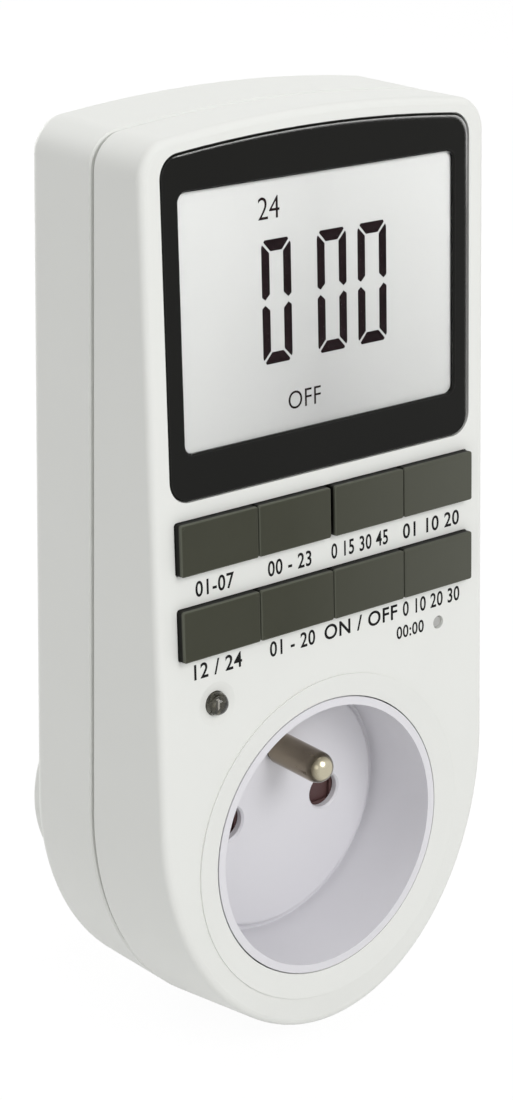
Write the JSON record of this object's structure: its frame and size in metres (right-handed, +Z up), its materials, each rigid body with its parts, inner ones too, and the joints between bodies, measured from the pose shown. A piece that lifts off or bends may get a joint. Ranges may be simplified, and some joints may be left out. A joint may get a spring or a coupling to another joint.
{
  "type": "plug-in timer switch",
  "caption": "Plug-in digital timer switch: display, rubber-dome keys, reset button, earthed socket with safety shutter in front, earthed plug behind.",
  "frame": {"origin": "centre of the plug's flat end, midway between its two pins", "axes": "+X to the right seen from the front, +Y from the front face towards the wall socket, along the plug pins, +Z up"},
  "size_m": [0.063, 0.0699, 0.1396],
  "materials": {
    "case_plastic": "satin moulded",
    "insert_plastic": "smooth moulded",
    "frame_plastic": "glossy",
    "window_plastic": "clear polished",
    "lcd_glass": "satin",
    "holder_plastic": "moulded",
    "strip_rubber": "matte",
    "mat_rubber": "matte",
    "board_laminate": "solder resist",
    "led_lens": "smoky lens",
    "button_plastic": "moulded",
    "switch_plastic": "moulded",
    "chip_resin": "cast",
    "crystal_steel": "drawn can",
    "pin_nickel": "nickel plated",
    "shutter_plastic": "moulded",
    "spring_steel": "drawn wire",
    "carrier_plastic": "moulded",
    "contact_brass": "stamped",
    "earth_steel": "plated strip",
    "relay_plastic": "moulded",
    "film_resin": "moulded box",
    "can_aluminium": "sleeved can",
    "disc_resin": "dipped",
    "battery_steel": "drawn can",
    "resistor_resin": "dipped",
    "cable_plastic": "extruded",
    "wire_brown": "extruded",
    "wire_blue": "extruded",
    "key_plastic": "fine texture",
    "screw_steel": "zinc plated"
  },
  "bodies": {
    "case": {"backup_battery": "battery_steel", "board_lead": "cable_plastic", "board_screws": "screw_steel", "case_screws": "screw_steel", "clock_chip": "chip_resin", "contact_carrier": "carrier_plastic", "contact_strip": "strip_rubber", "control_board": "board_laminate", "crystal": "crystal_steel", "diodes": "chip_resin", "display_frame": "frame_plastic", "display_window": "window_plastic", "earth_clips": "earth_steel", "earth_link": "contact_brass", "earth_pin": "pin_nickel", "electrolytic_capacitor": "can_aluminium", "film_capacitor": "film_resin", "front_housing": "case_plastic", "indicator_led": "led_lens", "keypad_mat": "mat_rubber", "lcd_holder": "holder_plastic", "lcd_panel": "lcd_glass", "live_contact": "contact_brass", "live_terminal": "contact_brass", "live_wire": "wire_brown", "load_wire": "wire_brown", "neutral_bar": "contact_brass", "neutral_contact": "contact_brass", "neutral_wire": "wire_blue", "plug_pins": "pin_nickel", "power_board": "board_laminate", "power_screws": "screw_steel", "rear_earth_contact": "contact_brass", "rear_housing": "case_plastic", "relay": "relay_plastic", "reset_switch": "switch_plastic", "resistors": "resistor_resin", "shutter_spring": "spring_steel", "socket_insert": "insert_plastic", "socket_screws": "screw_steel", "varistor": "disc_resin"},
    "week_key": {"key_week": "key_plastic"},
    "hour_key": {"key_hour": "key_plastic"},
    "minute_key": {"key_minute": "key_plastic"},
    "recall_key": {"key_recall": "key_plastic"},
    "clock_key": {"key_clock": "key_plastic"},
    "timer_key": {"key_timer": "key_plastic"},
    "mode_key": {"key_mode": "key_plastic"},
    "random_key": {"key_random": "key_plastic"},
    "reset": {"reset_button": "button_plastic"},
    "shutter": {"safety_shutter": "shutter_plastic"}
  },
  "joints": [
    {"name": "key_week_press", "type": "slide", "parent": "case", "child": "week_key", "axis": [0, 0.9977, -0.068], "range_m": [0, 0.0008], "stiffness_N_per_m": 900, "springref_m": -0.0003},
    {"name": "key_hour_press", "type": "slide", "parent": "case", "child": "hour_key", "axis": [0, 0.9977, -0.068], "range_m": [0, 0.0008], "stiffness_N_per_m": 900, "springref_m": -0.0003},
    {"name": "key_minute_press", "type": "slide", "parent": "case", "child": "minute_key", "axis": [0, 0.9977, -0.068], "range_m": [0, 0.0008], "stiffness_N_per_m": 900, "springref_m": -0.0003},
    {"name": "key_recall_press", "type": "slide", "parent": "case", "child": "recall_key", "axis": [0, 0.9977, -0.068], "range_m": [0, 0.0008], "stiffness_N_per_m": 900, "springref_m": -0.0003},
    {"name": "key_clock_press", "type": "slide", "parent": "case", "child": "clock_key", "axis": [0, 0.9977, -0.068], "range_m": [0, 0.0008], "stiffness_N_per_m": 900, "springref_m": -0.0003},
    {"name": "key_timer_press", "type": "slide", "parent": "case", "child": "timer_key", "axis": [0, 0.9977, -0.068], "range_m": [0, 0.0008], "stiffness_N_per_m": 900, "springref_m": -0.0003},
    {"name": "key_mode_press", "type": "slide", "parent": "case", "child": "mode_key", "axis": [0, 0.9977, -0.068], "range_m": [0, 0.0008], "stiffness_N_per_m": 900, "springref_m": -0.0003},
    {"name": "key_random_press", "type": "slide", "parent": "case", "child": "random_key", "axis": [0, 0.9977, -0.068], "range_m": [0, 0.0008], "stiffness_N_per_m": 900, "springref_m": -0.0003},
    {"name": "reset_button_press", "type": "slide", "parent": "case", "child": "reset", "axis": [0, 0.9977, -0.068], "range_m": [0, 0.0004], "stiffness_N_per_m": 1500, "springref_m": -0.0002},
    {"name": "shutter_slide", "type": "slide", "parent": "case", "child": "shutter", "axis": [0, 0, -1], "range_m": [0, 0.0062], "stiffness_N_per_m": 80, "springref_m": -0.004, "deforming": ["shutter_spring"]}
  ]
}
